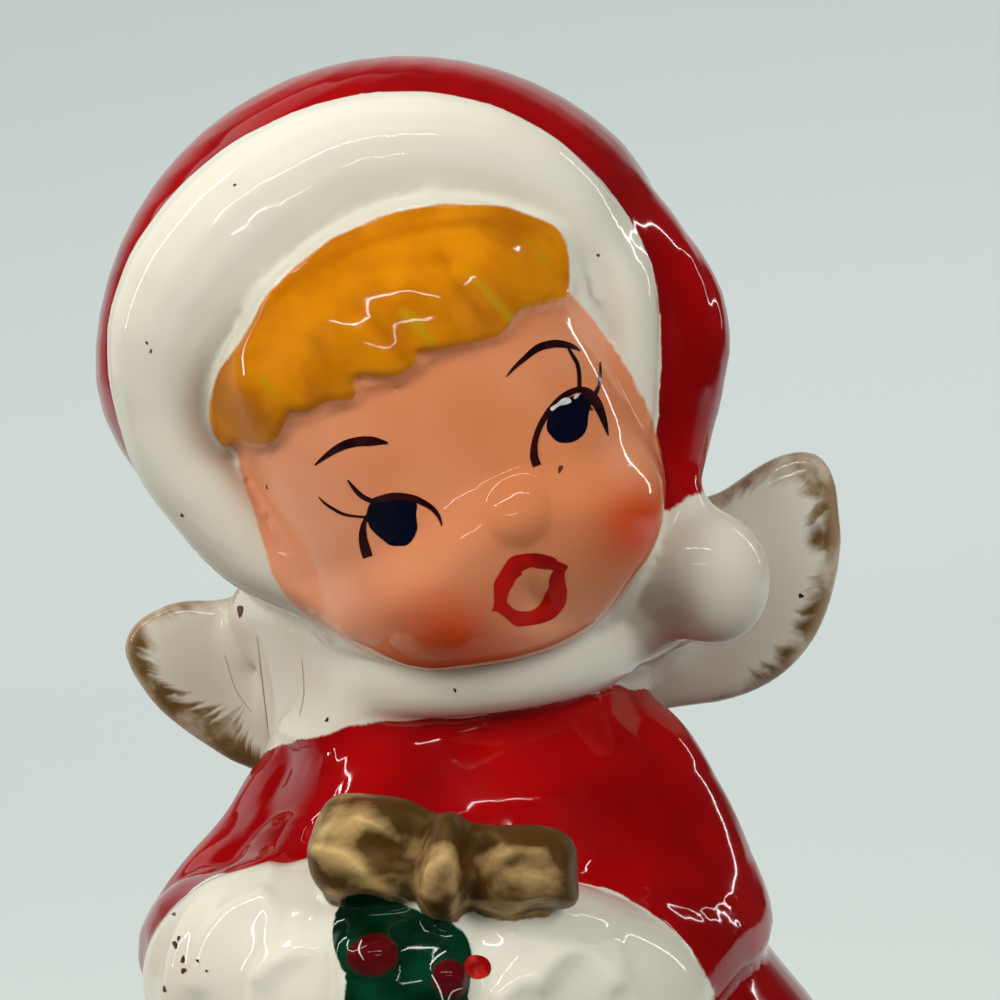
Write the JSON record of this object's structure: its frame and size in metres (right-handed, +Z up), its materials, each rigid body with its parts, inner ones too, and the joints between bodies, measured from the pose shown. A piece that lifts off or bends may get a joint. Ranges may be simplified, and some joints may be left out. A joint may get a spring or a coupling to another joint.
{
  "type": "angel figurine",
  "caption": "Small hollow ceramic child angel in a red hooded coat, hands in a white fur muff with a bow and holly, standing on a flat foot.",
  "frame": {"origin": "middle of the flat foot, on the surface that the figurine stands on", "axes": "+Z up through the hood, the front of the figure towards -Y, +X to the right of a viewer in front of it"},
  "size_m": [0.0654, 0.0578, 0.1089],
  "materials": {
    "glaze": "gloss"
  },
  "bodies": {
    "root": {"angel_figurine": "glaze"}
  },
  "joints": []
}
